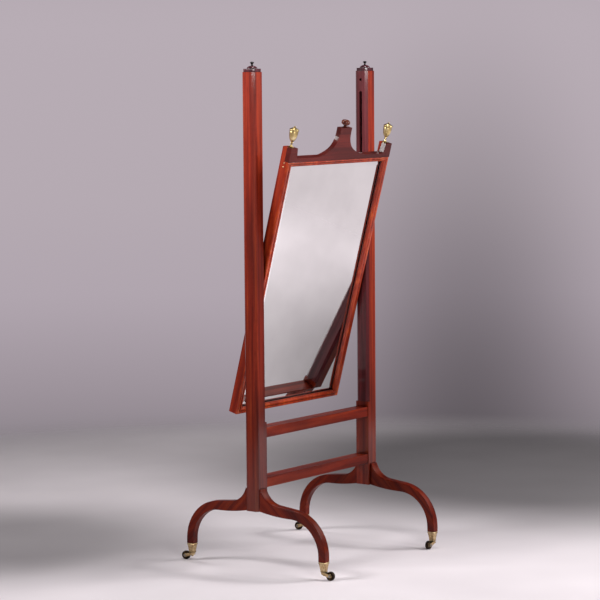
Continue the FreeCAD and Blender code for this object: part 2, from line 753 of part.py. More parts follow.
def top_rail():
    body = body_for("top_rail")
    rebate_top = d.sight_rise + d.rebate
    pad(body, "XZ", frame_front, glass_front, box(-sight_x, sight_x, d.sight_rise, crest_bottom))
    pad(body, "XZ", glass_front, back, box(-sight_x, sight_x, rebate_top, crest_bottom))
    pad(body, "XZ", crest_back, back,
        box(-sight_x, sight_x, crest_bottom, crest_bottom + d.top_rail_rise))
    body.Placement = MIRROR


def mouldings():
    """Four mitred strips planted round the glass opening."""
    bottom, top = -d.frame_drop, crest_bottom
    low, high = sight_bottom, d.sight_rise
    strips = [
        [(-half_mirror, bottom), (half_mirror, bottom), (sight_x, low), (-sight_x, low)],
        [(half_mirror, bottom), (half_mirror, top), (sight_x, high), (sight_x, low)],
        [(half_mirror, top), (-half_mirror, top), (-sight_x, high), (sight_x, high)],
        [(-half_mirror, top), (-half_mirror, bottom), (-sight_x, low), (-sight_x, high)],
    ]
    pieces = []
    for strip in strips:
        body = body_for("moulding_strip", keep=False)
        pad(body, "XZ", front, frame_front, strip)
        body.Placement = MIRROR
        pieces.append(body)
    group("front_mouldings", pieces)


def crest():
    """Shaped board across the top, with a horn at each end and a raised middle."""
    body = body_for("crest")
    inner_horn = half_mirror - d.horn_width
    saddle = crest_bottom + d.saddle_rise
    foot = d.horn_foot / 2
    half_top = d.plateau_width / 2
    neck = crest_bottom + d.neck_rise
    top = crest_bottom + d.plateau_rise
    drop = neck - saddle
    bend_x = half_top + d.neck_radius * (1 - cosine(d.neck_sweep))
    bend_z = neck - d.neck_radius * sine(d.neck_sweep)
    wide = (drop - d.neck_radius * sine(d.neck_sweep)) / (1 - sine(d.neck_sweep))
    level_x = bend_x + wide * cosine(d.neck_sweep)
    path = [(-half_mirror, crest_bottom), (half_mirror, crest_bottom), (half_mirror, horn_top),
            (inner_horn, horn_top), (inner_horn - foot, saddle + foot),
            (inner_horn - 2 * foot, saddle, -foot),
            (level_x, saddle), (bend_x, bend_z, -wide), (half_top, neck, -d.neck_radius),
            (half_top, top), (-half_top, top),
            (-half_top, neck), (-bend_x, bend_z, -d.neck_radius), (-level_x, saddle, -wide),
            (foot * 2 - inner_horn, saddle), (foot - inner_horn, saddle + foot, -foot),
            (-inner_horn, horn_top), (-half_mirror, horn_top)]
    pad(body, "XZ", front, crest_back, path)
    for way in (-1, 1):
        pocket(body, "XY", horn_top - d.stud_length, horn_top,
               (way * finial_x, crest_back, d.stud_radius))
    pocket(body, "XY", top - d.stud_length, top, (0, (front + crest_back) / 2, d.stud_radius))
    body.Placement = MIRROR


def crest_knob():
    body = body_for("crest_knob")
    base = crest_bottom + d.plateau_rise
    knob = base + d.crest_neck
    middle = knob + d.crest_knob_height / 2
    neck = d.crest_knob_radius / 3
    half = d.crest_knob_height / 2
    shallow = d.crest_knob_radius - half / 2
    step = half / 6
    foot = neck * 1.7
    turned(body, [(0, base - d.stud_length), (d.stud_radius, base - d.stud_length),
                  (d.stud_radius, base), (foot, base), (foot, base + d.fillet_height),
                  (neck, knob - d.fillet_height), (neck, knob), (shallow, knob + step),
                  (d.crest_knob_radius, middle, half), (shallow, knob + 2 * half - step, half),
                  (neck, knob + 2 * half), (0, knob + 2 * half)])
    body.Placement = MIRROR.multiply(placed(0, (front + crest_back) / 2))


def finial(side, way):
    """Brass urn on a horn of the crest."""
    body = body_for(f"{side}_finial")
    base = horn_top
    tall = d.finial_height
    rim = d.finial_radius
    foot = rim * 0.63
    stem = rim * 0.2
    body_foot = base + tall * 0.25
    belly = base + tall * 0.48
    lip = base + tall * 0.8
    lid = base + tall * 0.9
    turned(body, [(0, base - d.stud_length), (d.stud_radius, base - d.stud_length),
                  (d.stud_radius, base), (foot, base), (foot, base + d.fillet_height),
                  (stem, base + tall * 0.14), (stem, body_foot), (rim * 0.75, belly, rim * 2),
                  (rim * 0.95, lip), (rim, lip), (rim, lip + d.fillet_height), (rim * 0.55, lid),
                  (stem, lid + d.fillet_height), (stem, base + tall), (0, base + tall)])
    body.Placement = MIRROR.multiply(placed(way * finial_x, crest_back))


def pivot_bush(side, way):
    body = body_for(f"{side}_pivot_bush")
    bore = d.pivot_pin + d.running
    inside = half_mirror - d.bush_length
    flange = half_mirror - d.bush_flange_thickness
    turned(body, [(bore, inside), (d.bush_radius, inside), (d.bush_radius, flange),
                  (d.bush_flange, flange), (d.bush_flange, half_mirror), (bore, half_mirror)])
    body.Placement = MIRROR.multiply(placed(rotation=turn((0, 1, 0), 90 * way)))


def glass():
    """Plate with its front edges ground to a bevel."""
    body = body_for("mirror_plate")
    step = d.bevel_width
    bevel_back = glass_front + d.bevel_depth
    full = box(-plate_x, plate_x, plate_low, plate_high)
    pad(body, "XZ", bevel_back, glass_front + d.glass_thickness, full)
    field = box(step - plate_x, plate_x - step, plate_low + step, plate_high - step)
    loft(body, "XZ", bevel_back, full, glass_front, field)
    body.Placement = MIRROR


def backboard():
    body = body_for("backboard")
    pad(body, "XZ", board_front, board_back, box(-plate_x, plate_x, plate_low, plate_high))
    groove = d.panel_groove
    side = plate_x - d.panel_margin
    low = plate_low + d.panel_margin
    high = plate_high - d.panel_margin
    for cut in (low, high - groove):
        pocket(body, "XZ", board_back - groove, board_back, box(-side, side, cut, cut + groove))
    for cut in (-side, side - groove):
        pocket(body, "XZ", board_back - groove, board_back,
               box(cut, cut + groove, low + groove, high - groove))
    for x, z in screw_places():
        pocket(body, "XZ", board_front, board_back, (x, z, d.screw_head))
    body.Placement = MIRROR


def screw_places():
    """Backboard screws, evenly spaced a little inside its edge."""
    inset = 2.5 * d.screw_head
    side = plate_x - inset
    low = plate_low + inset
    high = plate_high - inset
    along = 4
    for way in (-1, 1):
        for step in range(along + 1):
            yield way * side, low + (high - low) * step / along
    for edge in (low, high):
        yield Size(0), edge


def backboard_screws():
    master = body_for("backboard_screw", keep=False)
    head = d.screw_head
    edge = board_back - d.screw_countersink
    turned(master, [(0, board_front), (head, board_front), (head, edge),
                    (head - d.screw_countersink / 2, board_back), (0, board_back)])
    slit = d.screw_slit / 2
    pocket(master, "XY", edge, board_back, box(-head, head, -slit, slit))
    to_back = turn((1, 0, 0), -90)
    places = [MIRROR.multiply(placed(x, 0, z, to_back)) for x, z in screw_places()]
    group("backboard_screws", copies(master, places))


def glazing_blocks():
    """Small blocks that press the glass forward under the backboard."""
    master = body_for("glazing_block", keep=False)
    pad(master, "XZ", board_front - d.block_depth, board_front,
        centred(d.rebate - d.glass_play, d.block_length))
    side = sight_x + d.rebate / 2
    rise = (d.sight_rise - sight_bottom) / 3
    middle = (d.sight_rise + sight_bottom) / 2
    places = []
    for way in (-1, 1):
        for step in (-1, 0, 1):
            places.append(MIRROR.multiply(placed(way * side, 0, middle + rise * step)))
    for z in (sight_bottom - d.rebate / 2, d.sight_rise + d.rebate / 2):
        for way in (-1, 1):
            level = placed(way * sight_x / 2, 0, z, turn((0, 1, 0), 90))
            places.append(MIRROR.multiply(level))
    group("glazing_blocks", copies(master, places))


# ---------------------------------------------------------------- assembly
for side, way in (("left", -1), ("right", 1)):
    post(side)
    cheek(side)
    cap(side)
    cap_knob(side)
    pulley(side)
    weight(side)
    carriage(side)
    pivot_pin(side)
    stile(side, way)
    finial(side, way)
    pivot_bush(side, way)
stand_rail("lower_rail", d.lower_rail_bottom)
stand_rail("upper_rail", d.upper_rail_bottom)
for foot in foot_places():
    leg(*foot[:2])
    cup(*foot)
    fork(*foot)
    wheel(*foot)
    axle(*foot)
pulley_pins()
friction_washers()
cords()
bottom_rail()
top_rail()
mouldings()
crest()
crest_knob()
glass()
glazing_blocks()
backboard()
backboard_screws()

doc.recompute()
faults = [f"{item.Label}: {item.State}" for item in doc.Objects
          if "Invalid" in item.State or "Error" in item.State]
for item in doc.Objects:
    if item.TypeId in ("PartDesign::Pocket", "PartDesign::SubtractiveLoft"):
        if item.Shape.Volume > item.BaseFeature.Shape.Volume - 1e-3:
            faults.append(f"{item.Label} in {item.getParentGeoFeatureGroup().Label} cuts nothing")
for label, item in nodes.items():
    if item.Shape.isNull() or not item.Shape.isValid() or not item.Shape.Solids:
        faults.append(f"{label} has no valid solid")
if faults:
    raise RuntimeError("; ".join(faults))

os.makedirs("parts", exist_ok=True)
for label, item in nodes.items():
    item.Shape.exportStep(f"parts/{label}.step")
    print(f"{label}: {len(item.Shape.Solids)} solids, {item.Shape.Volume / 1000:.1f} cm3")
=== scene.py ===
import json
import math

import bpy
from mathutils import Matrix, Vector

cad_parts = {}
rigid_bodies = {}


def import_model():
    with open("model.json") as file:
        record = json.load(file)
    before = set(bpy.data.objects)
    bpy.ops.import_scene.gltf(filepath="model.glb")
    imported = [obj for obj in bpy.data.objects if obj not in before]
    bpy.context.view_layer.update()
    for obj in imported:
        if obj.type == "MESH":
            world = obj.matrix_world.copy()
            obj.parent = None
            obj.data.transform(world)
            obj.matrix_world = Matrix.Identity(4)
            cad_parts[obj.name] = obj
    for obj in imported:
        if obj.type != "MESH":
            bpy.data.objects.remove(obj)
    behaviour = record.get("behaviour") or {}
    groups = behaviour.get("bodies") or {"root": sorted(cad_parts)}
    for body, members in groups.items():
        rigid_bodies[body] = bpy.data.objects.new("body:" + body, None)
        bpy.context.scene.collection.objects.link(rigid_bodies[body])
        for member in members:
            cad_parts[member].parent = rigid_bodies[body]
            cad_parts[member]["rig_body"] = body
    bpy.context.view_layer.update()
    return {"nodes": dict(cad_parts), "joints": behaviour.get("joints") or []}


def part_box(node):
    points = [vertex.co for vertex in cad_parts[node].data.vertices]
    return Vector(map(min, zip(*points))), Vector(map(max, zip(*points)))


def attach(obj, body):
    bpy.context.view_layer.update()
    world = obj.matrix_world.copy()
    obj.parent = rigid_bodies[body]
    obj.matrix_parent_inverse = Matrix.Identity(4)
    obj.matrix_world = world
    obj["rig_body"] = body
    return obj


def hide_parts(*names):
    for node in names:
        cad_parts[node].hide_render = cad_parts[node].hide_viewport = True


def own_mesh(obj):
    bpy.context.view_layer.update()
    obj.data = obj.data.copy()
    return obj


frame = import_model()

nodes = frame["nodes"]
sides = ("left", "right")
ends = ("front", "back")
corners = [side + "_" + end for side in sides for end in ends]

# the mirror hangs tilted on its pivots: its own depth and height turn together
mirrorSet = {"pivotHeight": 0.915, "tilt": 15.0}
onMirror = (Matrix.Translation((0, 0, mirrorSet["pivotHeight"]))
            @ Matrix.Rotation(math.radians(mirrorSet["tilt"]), 4, "X"))


# camera: stands to the left and in front, a little above the middle
cameraLook = {"azimuth": -52.805, "elevation": 5.573, "roll": -0.455, "distance": 7.6735,
              "target": (-0.06351, 0.0, 0.8367), "lens": 143.62, "sensor": 36}


def addCamera(look):
    side, up = math.radians(look["azimuth"]), math.radians(look["elevation"])
    back = Vector((math.sin(side) * math.cos(up), -math.cos(side) * math.cos(up), math.sin(up)))
    data = bpy.data.cameras.new("studioCamera")
    data.lens = look["lens"]
    data.sensor_width = look["sensor"]
    camera = bpy.data.objects.new("studioCamera", data)
    bpy.context.scene.collection.objects.link(camera)
    camera.rotation_mode = "QUATERNION"
    turn = (-back).to_track_quat("-Z", "Y")
    roll = Matrix.Rotation(math.radians(look["roll"]), 4, "Z").to_quaternion()
    camera.rotation_quaternion = turn @ roll
    camera.location = Vector(look["target"]) + back * look["distance"]
    bpy.context.scene.camera = camera


addCamera(cameraLook)
print("camera set")


def linear(hexText):
    values = [int(hexText[i:i + 2], 16) / 255 for i in (1, 3, 5)]
    return tuple(v / 12.92 if v <= 0.04045 else ((v + 0.055) / 1.055) ** 2.4 for v in values) + (1,)


def addNode(tree, kind, inputs=None, stops=None, **settings):
    node = tree.nodes.new("ShaderNode" + kind)
    for name, value in settings.items():
        setattr(node, name, value)
    if stops:
        bar = node.color_ramp.elements
        while len(bar) < len(stops):
            bar.new(1)
        for stop, (place, colour) in zip(bar, stops):
            stop.position = place
            stop.color = linear(colour) if isinstance(colour, str) else (colour,) * 3 + (1,)
    for name, value in (inputs or {}).items():
        socket = node.inputs[name]
        if isinstance(value, tuple) and isinstance(value[0], bpy.types.Node):
            tree.links.new(value[0].outputs[value[1]], socket)
        elif isinstance(value, str):
            socket.default_value = linear(value)
        else:
            socket.default_value = value
    return node


def startMaterial(name):
    made = bpy.data.materials.new(name)
    made.use_nodes = True
    made.node_tree.nodes.clear()
    return made, made.node_tree


# a pattern's own place on the object: turn is how the board lies, across and along are in metres
def placeOn(tree, turn, across, along=None):
    spot = addNode(tree, "TexCoord")
    angles = tuple(math.radians(a) for a in turn)
    return addNode(tree, "Mapping", {"Vector": (spot, "Object"), "Rotation": angles,
                                     "Scale": (across, across, along or across)},
                   vector_type="TEXTURE")


# French-polished mahogany: sawn board, pores filled, shellac rubbed to a gloss. It gives the eye
# long orange and wine-red stripes along the board, short dark pores and a clear wet shine.
def polishedWood(look):
    made, tree = startMaterial(look["name"])
    board = placeOn(tree, look["turn"], look["stripeWidth"], look["stripeLength"])
    stripes = addNode(tree, "TexNoise", {"Vector": (board, 0), "Scale": 1.0, "Detail": 4.0,
                                         "Roughness": 0.55, "Distortion": look["waver"]})
    body = addNode(tree, "ValToRGB", {"Fac": (stripes, 0)},
                   stops=[(0.30, look["dark"]), (0.47, look["mid"]), (0.60, look["light"]),
                          (0.72, look["bright"])])
    cloudPlace = placeOn(tree, look["turn"], *look["cloud"])
    clouds = addNode(tree, "TexNoise", {"Vector": (cloudPlace, 0), "Scale": 1.3, "Detail": 2.0})
    cloudShade = addNode(tree, "ValToRGB", {"Fac": (clouds, 0)},
                         stops=[(0.30, look["cloudShade"][0]), (0.68, look["cloudShade"][1])])
    clouded = addNode(tree, "Mix", {0: 1.0, 6: (body, 0), 7: (cloudShade, 0)},
                      data_type="RGBA", blend_type="MULTIPLY")
    # real pores are 0.2 mm wide; they are drawn 1.2 mm wide and 20 mm long so that they show
    poreBoard = placeOn(tree, look["turn"], *look["pore"])
    pores = addNode(tree, "TexNoise", {"Vector": (poreBoard, 0), "Scale": 1.0, "Detail": 2.0})
    poreShade = addNode(tree, "ValToRGB", {"Fac": (pores, 0)},
                        stops=[(0.30, look["poreShade"]), (0.45, 1.0), (0.75, 1.06)])
    pored = addNode(tree, "Mix", {0: 1.0, 6: (clouded, 2), 7: (poreShade, 0)},
                    data_type="RGBA", blend_type="MULTIPLY")
    # painted shade: the wood is made darker towards the floor, where less light reaches it
    spot = addNode(tree, "TexCoord")
    parts = addNode(tree, "SeparateXYZ", {0: (spot, "Object")})
    paintedLowShade = addNode(tree, "MapRange", {"Value": (parts, "Z"), 1: look["paintedLowShadeHeights"][0],
                                      2: look["paintedLowShadeHeights"][1], 3: look["paintedLowShade"], 4: 1.0})
    lowShadePainted = addNode(tree, "Mix", {0: 1.0, 6: (pored, 2), 7: (paintedLowShade, 0)},
                    data_type="RGBA", blend_type="MULTIPLY")
    # wax and dust in the inner corners, and painted shade there: ambient occlusion darkens where parts
    # close each other in
    corner = addNode(tree, "AmbientOcclusion", {"Distance": look["hollowShadeReach"]}, samples=6)
    cornerShade = addNode(tree, "ValToRGB", {"Fac": (corner, "AO")},
                          stops=[(0.25, look["hollowDirtAndShade"]), (0.85, "#ffffff")])
    dirtAndShaded = addNode(tree, "Mix", {0: 1.0, 6: (lowShadePainted, 2), 7: (cornerShade, 0)},
                    data_type="RGBA", blend_type="MULTIPLY")
    rub = addNode(tree, "TexNoise", {"Vector": (cloudPlace, 0), "Scale": 9.0, "Detail": 3.0})
    rough = addNode(tree, "MapRange", {"Value": (rub, 0), 3: look["gloss"][0], 4: look["gloss"][1]})
    bump = addNode(tree, "Bump", {"Strength": look["bump"], "Distance": 0.0004,
                                  "Height": (pores, 0)})
    shader = addNode(tree, "BsdfPrincipled", {
        "Base Color": (dirtAndShaded, 2), "Roughness": (rough, 0), "IOR": 1.5, "Normal": (bump, 0),
        "Specular IOR Level": look["underShine"], "Coat Weight": look["coat"],
        "Coat Roughness": look["coatRoughness"], "Coat IOR": 1.52})
    addNode(tree, "OutputMaterial", {"Surface": (shader, 0)})
    return made


mahoganyLook = {"name": "mahoganyUpright", "turn": (0, 0, 0), "stripeWidth": 0.016,
                "stripeLength": 0.55, "waver": 0.5, "dark": "#64180c", "mid": "#862412",
                "light": "#a03418", "bright": "#b8481c", "cloud": (0.10, 0.45),
                "cloudShade": (0.62, 1.12), "pore": (0.0012, 0.020), "poreShade": 0.72,
                "paintedLowShadeHeights": (0.15, 1.35), "hollowShadeReach": 0.014,
                "hollowDirtAndShade": "#3a120c", "gloss": (0.36, 0.5), "bump": 0.10, "underShine": 0.10,
                "coat": 0.55, "coatRoughness": 0.08, "paintedLowShade": 1.0}
tilt = mirrorSet["tilt"]
standLook = {**mahoganyLook, "paintedLowShade": 0.42}    # painted shade: the stand is made darkest near the floor
mahoganyUpright = polishedWood(standLook)
# painted shade and painted sheen: the cheeks get a darker mahogany for the inner faces the lights do
# not reach, tinted purple-grey for a sheen
cheekShadeAndSheen = polishedWood({**standLook, "name": "cheekShadeAndSheen", "dark": "#48191e",
                              "mid": "#6a2a2e", "light": "#82363c", "bright": "#94464a"})
# rails and legs are waxed, not polished
railLook = {**standLook, "name": "mahoganyLong", "turn": (0, 90, 0), "coat": 0.10}
mahoganyLong = polishedWood(railLook)
legLook = {**standLook, "dark": "#60160a", "mid": "#80200d", "light": "#98300f",
           "bright": "#a83a14", "coat": 0.13}
mahoganyFrontLeg = polishedWood({**legLook, "name": "mahoganyFrontLeg", "turn": (-45, 0, 0)})
mahoganyBackLeg = polishedWood({**legLook, "name": "mahoganyBackLeg", "turn": (45, 0, 0)})
mahoganyStile = polishedWood({**mahoganyLook, "name": "mahoganyStile", "turn": (tilt, 0, 0)})
mahoganyCrest = polishedWood({**mahoganyLook, "name": "mahoganyCrest", "turn": (0, 90, 0),
                              "dark": "#461210", "mid": "#521512", "light": "#5c1a15",
                              "bright": "#66211a", "coat": 0.24})
mahoganyMoulding = polishedWood({**mahoganyLook, "name": "mahoganyMoulding",
                                 "turn": (tilt, 0, 0), "stripeLength": 0.05,
                                 "dark": "#84220c", "mid": "#9c2e10", "light": "#b04016",
                                 "bright": "#c4561e"})
# pine from the plane, unpolished: pale, with wide soft growth lines
pineLook = {**mahoganyLook, "name": "planedPine", "turn": (tilt, 0, 0), "dark": "#9c7446",
            "mid": "#b98f5c", "light": "#c9a270", "bright": "#d6b283", "poreShade": 0.85,
            "gloss": (0.55, 0.7), "coat": 0.0}
planedPine = polishedWood(pineLook)
# the backboard has darkened with age and was only waxed
agedBackboard = polishedWood({**pineLook, "name": "waxedBackboard", "dark": "#4d3020",
                              "mid": "#6b4630", "light": "#7c543a", "bright": "#8c6446"})
# pear wood stained black and polished: nearly black, brown where the stain is thin
ebonisedWood = polishedWood({**mahoganyLook, "name": "ebonisedPear", "dark": "#0a0808",
                             "mid": "#110c0d", "light": "#181110", "bright": "#221714",
                             "stripeWidth": 0.003, "stripeLength": 0.02, "gloss": (0.2, 0.3)})
# the caps of the posts, stained darker and purple-brown
cappedWood = polishedWood({**mahoganyLook, "name": "stainedMahogany", "dark": "#30131a",
                           "mid": "#471d27", "light": "#5a2831", "bright": "#6b343c"})
# turned mahogany knob, darkened by polish: copper red with small sharp shines
knobWood = polishedWood({**mahoganyLook, "name": "turnedMahogany", "dark": "#30100c",
                         "mid": "#542014", "light": "#743420", "bright": "#904a30",
                         "stripeWidth": 0.004, "stripeLength": 0.03, "gloss": (0.18, 0.3)})


# Old metal: cast or turned, rubbed bright on what stands out and brown or grey in the hollows.
def oldMetal(look):
    made, tree = startMaterial(look["name"])
    blotchPlace = placeOn(tree, (0, 0, 0), look["blotch"])
    blotches = addNode(tree, "TexNoise", {"Vector": (blotchPlace, 0), "Scale": 1.0, "Detail": 4.0,
                                          "Roughness": 0.6})
    colour = addNode(tree, "ValToRGB", {"Fac": (blotches, 0)},
                     stops=[(0.30, look["dull"]), (0.50, look["plain"]), (0.68, look["bright"])])
    # brown in the hollows: patina and dust, and painted shade, as the ambient occlusion also darkens
    # where parts close each other in
    corner = addNode(tree, "AmbientOcclusion", {"Distance": look["hollowShadeReach"]}, samples=6)
    cornerShade = addNode(tree, "ValToRGB", {"Fac": (corner, "AO")},
                          stops=[(0.30, look["hollowDirtAndShade"]), (0.80, "#ffffff")])
    dirtAndShaded = addNode(tree, "Mix", {0: 1.0, 6: (colour, 0), 7: (cornerShade, 0)},
                    data_type="RGBA", blend_type="MULTIPLY")
    rough = addNode(tree, "MapRange", {"Value": (blotches, 0), 3: look["gloss"][1],
                                       4: look["gloss"][0]})
    grit = addNode(tree, "TexNoise", {"Vector": (blotchPlace, 0), "Scale": 6.0, "Detail": 3.0})
    bump = addNode(tree, "Bump", {"Strength": look["bump"], "Distance": 0.0003,
                                  "Height": (grit, 0)})
    shader = addNode(tree, "BsdfPrincipled", {
        "Base Color": (dirtAndShaded, 2), "Roughness": (rough, 0), "Metallic": look["metallic"],
        "Normal": (bump, 0)})
    addNode(tree, "OutputMaterial", {"Surface": (shader, 0)})
    return made


# turned brass under old lacquer: pale gold, brown in the hollows, with soft-edged shines
brassLook = {"name": "lacqueredBrass", "blotch": 0.012, "dull": "#94804e", "plain": "#c8b078",
             "bright": "#eeddaa", "hollowDirtAndShade": "#2e2008", "hollowShadeReach": 0.006, "gloss": (0.22, 0.38),
             "bump": 0.15, "metallic": 1.0}
lacqueredBrass = oldMetal(brassLook)
# cast brass rubbed pale by wear and floor wax
wornBrass = oldMetal({**brassLook, "name": "wornCastBrass", "dull": "#8c7450", "plain": "#bca076",
                      "bright": "#dcc8a0", "gloss": (0.28, 0.45), "blotch": 0.008})
# sawn and filed brass of the lifting gear, never polished: same gold, duller and scratched
mechanismBrass = oldMetal({**brassLook, "name": "sawnBrass", "gloss": (0.35, 0.5)})
# bronze tyre of the wheel, nearly black with floor dirt
darkBronze = oldMetal({**brassLook, "name": "dirtyBronze", "dull": "#1c1613", "plain": "#2b211b",
                       "bright": "#4a3828", "gloss": (0.3, 0.5)})
# turned steel pins and axles: grey, oiled, brown where oil and dust have dried, with painted shade in
# the hollows
turnedSteel = oldMetal({**brassLook, "name": "turnedSteel", "dull": "#6a6866", "plain": "#8c8a88",
                        "bright": "#a8a6a2", "hollowDirtAndShade": "#2c2018", "gloss": (0.3, 0.45)})
# lead cast in sand: blue-grey, dull and slightly pitted
castLead = oldMetal({**brassLook, "name": "castLead", "dull": "#4a4b4e", "plain": "#5d5e61",
                     "bright": "#74757a", "hollowDirtAndShade": "#26262a", "gloss": (0.5, 0.7), "bump": 0.4})
print("woods and metals mixed")


# Laid cotton cord: three strands twisted, one turn in 6 mm; pale, dusty, no shine.
def laidCord(look):
    made, tree = startMaterial("laidCotton")
    spot = placeOn(tree, (0, 0, 0), 1)
    strands = addNode(tree, "TexWave", {"Vector": (spot, 0), "Scale": 1 / look["turnLength"],
                                        "Distortion": 1.5, "Detail": 2.0},
                      wave_type="BANDS", bands_direction="DIAGONAL")
    colour = addNode(tree, "ValToRGB", {"Fac": (strands, 0)},
                     stops=[(0.1, look["dark"]), (0.6, look["light"])])
    bump = addNode(tree, "Bump", {"Strength": 0.8, "Distance": 0.0005, "Height": (strands, 0)})
    shader = addNode(tree, "BsdfPrincipled", {"Base Color": (colour, 0), "Roughness": 0.9,
                                              "Sheen Weight": 0.3, "Normal": (bump, 0)})
    addNode(tree, "OutputMaterial", {"Surface": (shader, 0)})
    return made


cottonCord = laidCord({"turnLength": 0.006, "dark": "#7d6f58", "light": "#c2b396"})


# Vegetable-tanned leather washer: brown, with 0.8 mm pebbles, darker where it is rubbed.
def tannedLeather(look):
    made, tree = startMaterial("tannedLeather")
    spot = placeOn(tree, (0, 0, 0), 1)
    pebbles = addNode(tree, "TexVoronoi", {"Vector": (spot, 0), "Scale": 1 / look["pebble"]})
    colour = addNode(tree, "ValToRGB", {"Fac": (pebbles, 0)},
                     stops=[(0.0, look["light"]), (0.8, look["dark"])])
    bump = addNode(tree, "Bump", {"Strength": 0.5, "Distance": 0.0003, "Height": (pebbles, 0)},
                   invert=True)
    shader = addNode(tree, "BsdfPrincipled", {"Base Color": (colour, 0), "Roughness": 0.6,
                                              "Normal": (bump, 0)})
    addNode(tree, "OutputMaterial", {"Surface": (shader, 0)})
    return made


leather = tannedLeather({"pebble": 0.0008, "light": "#6b452a", "dark": "#3f2616"})


# Silvered plate glass: ground and polished flat, with tin and mercury behind it. It gives the
# eye a sharp, slightly grey reflection with faint clouds and tiny dark spots.
def silveredGlass(look):
    made, tree = startMaterial("silveredPlate")
    spot = placeOn(tree, (tilt, 0, 0), 1)
    clouds = addNode(tree, "TexNoise", {"Vector": (spot, 0), "Scale": 1 / look["cloud"],
                                        "Detail": 3.0})
    tone = addNode(tree, "ValToRGB", {"Fac": (clouds, 0)},
                   stops=[(0.3, look["cloudy"]), (0.7, look["clear"])])
    specks = addNode(tree, "TexVoronoi", {"Vector": (spot, 0), "Scale": 1 / look["speck"]})
    speckShade = addNode(tree, "ValToRGB", {"Fac": (specks, 0)},
                         stops=[(0.012, 0.75), (0.04, 1.0)])
    spotted = addNode(tree, "Mix", {0: 1.0, 6: (tone, 0), 7: (speckShade, 0)},
                      data_type="RGBA", blend_type="MULTIPLY")
    rough = addNode(tree, "MapRange", {"Value": (clouds, 0), 3: 0.012, 4: 0.03})
    shader = addNode(tree, "BsdfPrincipled", {"Base Color": (spotted, 2), "Metallic": 1.0,
                                              "Roughness": (rough, 0)})
    addNode(tree, "OutputMaterial", {"Surface": (shader, 0)})
    return made


silveredPlate = silveredGlass({"cloud": 0.16, "speck": 0.045, "cloudy": "#dddcdc",
                               "clear": "#e9e8e8"})

# what each CAD node is made of, and the record's slot for it
finishes = {"front_mouldings": (mahoganyMoulding, "mahogany_moulding"),
            "mirror_plate": (silveredPlate, "silvered_glass"),
            "crest_knob": (knobWood, "crest_knob"),
            "backboard": (agedBackboard, "backboard_wood"),
            "glazing_blocks": (planedPine, "pine"),
            "backboard_screws": (mechanismBrass, "mechanism_brass"),
            "pulley_pins": (turnedSteel, "steel"),
            "friction_washers": (leather, "leather")}
for side in sides:
    for part, finish, slot in (
            ("_post", mahoganyUpright, "mahogany_stand"),
            ("_cheek", cheekShadeAndSheen, "mahogany_stand"),
            ("_post_cap", cappedWood, "mahogany_stand"),
            ("_cap_knob", ebonisedWood, "ebonised"),
            ("_front_leg", mahoganyFrontLeg, "mahogany_stand"),
            ("_back_leg", mahoganyBackLeg, "mahogany_stand"),
            ("_stile", mahoganyStile, "mahogany_frame"),
            ("_finial", lacqueredBrass, "finial_brass"),
            ("_counterweight", castLead, "lead"),
            ("_pivot_pin", turnedSteel, "steel"),
            ("_pulley", mechanismBrass, "mechanism_brass"),
            ("_carriage", mechanismBrass, "mechanism_brass"),
            ("_pivot_bush", mechanismBrass, "mechanism_brass")):
        finishes[side + part] = (finish, slot)
    for end in ends:
        for part, finish, slot in (("_cup", wornBrass, "caster_brass"),
                                   ("_fork", wornBrass, "caster_brass"),
                                   ("_wheel", darkBronze, "caster_wheel"),
                                   ("_axle", turnedSteel, "steel")):
            finishes[side + "_" + end + part] = (finish, slot)
for railNode in ("lower_rail", "upper_rail"):
    finishes[railNode] = (mahoganyLong, "mahogany_stand")
for crestNode in ("crest", "top_rail", "bottom_rail"):
    finishes[crestNode] = (mahoganyCrest, "mahogany_frame")
for cordNode in ("carriage_cords", "weight_cords", "cord_bends"):
    finishes[cordNode] = (cottonCord, "cord")
for nodeName, node in nodes.items():
    node.data.materials.clear()
    node.data.materials.append(finishes[nodeName][0])
print("finishes given to", len(nodes), "nodes")


def only(piece):
    bpy.ops.object.select_all(action="DESELECT")
    piece.select_set(True)
    bpy.context.view_layer.objects.active = piece


def applyAll(piece):
    only(piece)
    for modifier in list(piece.modifiers):
        bpy.ops.object.modifier_apply(modifier=modifier.name)


def settle(piece, name, finish, body, smooth=35, flat=False):
    only(piece)
    bpy.ops.object.transform_apply(location=True, rotation=True, scale=True)
    bpy.ops.object.shade_smooth_by_angle(angle=math.radians(smooth))
    piece.name = piece.data.name = name
    if finish:
        piece.data.materials.clear()
        piece.data.materials.append(finish)
    if flat:    # broad faces keep their own direction beside the rounded edges
        weighted = piece.modifiers.new("flatFaces", "WEIGHTED_NORMAL")
        weighted.weight, weighted.keep_sharp = 100, True
        applyAll(piece)
    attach(piece, body)


# edges of the joiner's work rounded as plane and sandpaper leave them: width in metres, steps
edgeLook = {"weld": 0.00001, "flatAngle": 0.5, "sharpAngle": 28}
softEdges = {"_post": (0.0009, 2), "_cheek": (0.0006, 2), "_rail": (0.0009, 2),
             "_leg": (0.0017, 2), "_stile": (0.0008, 2), "crest": (0.0012, 3),
             "_post_cap": (0.0010, 3), "backboard": (0.0008, 2), "_fork": (0.0004, 2),
             "_carriage": (0.0004, 1), "_counterweight": (0.0010, 2)}


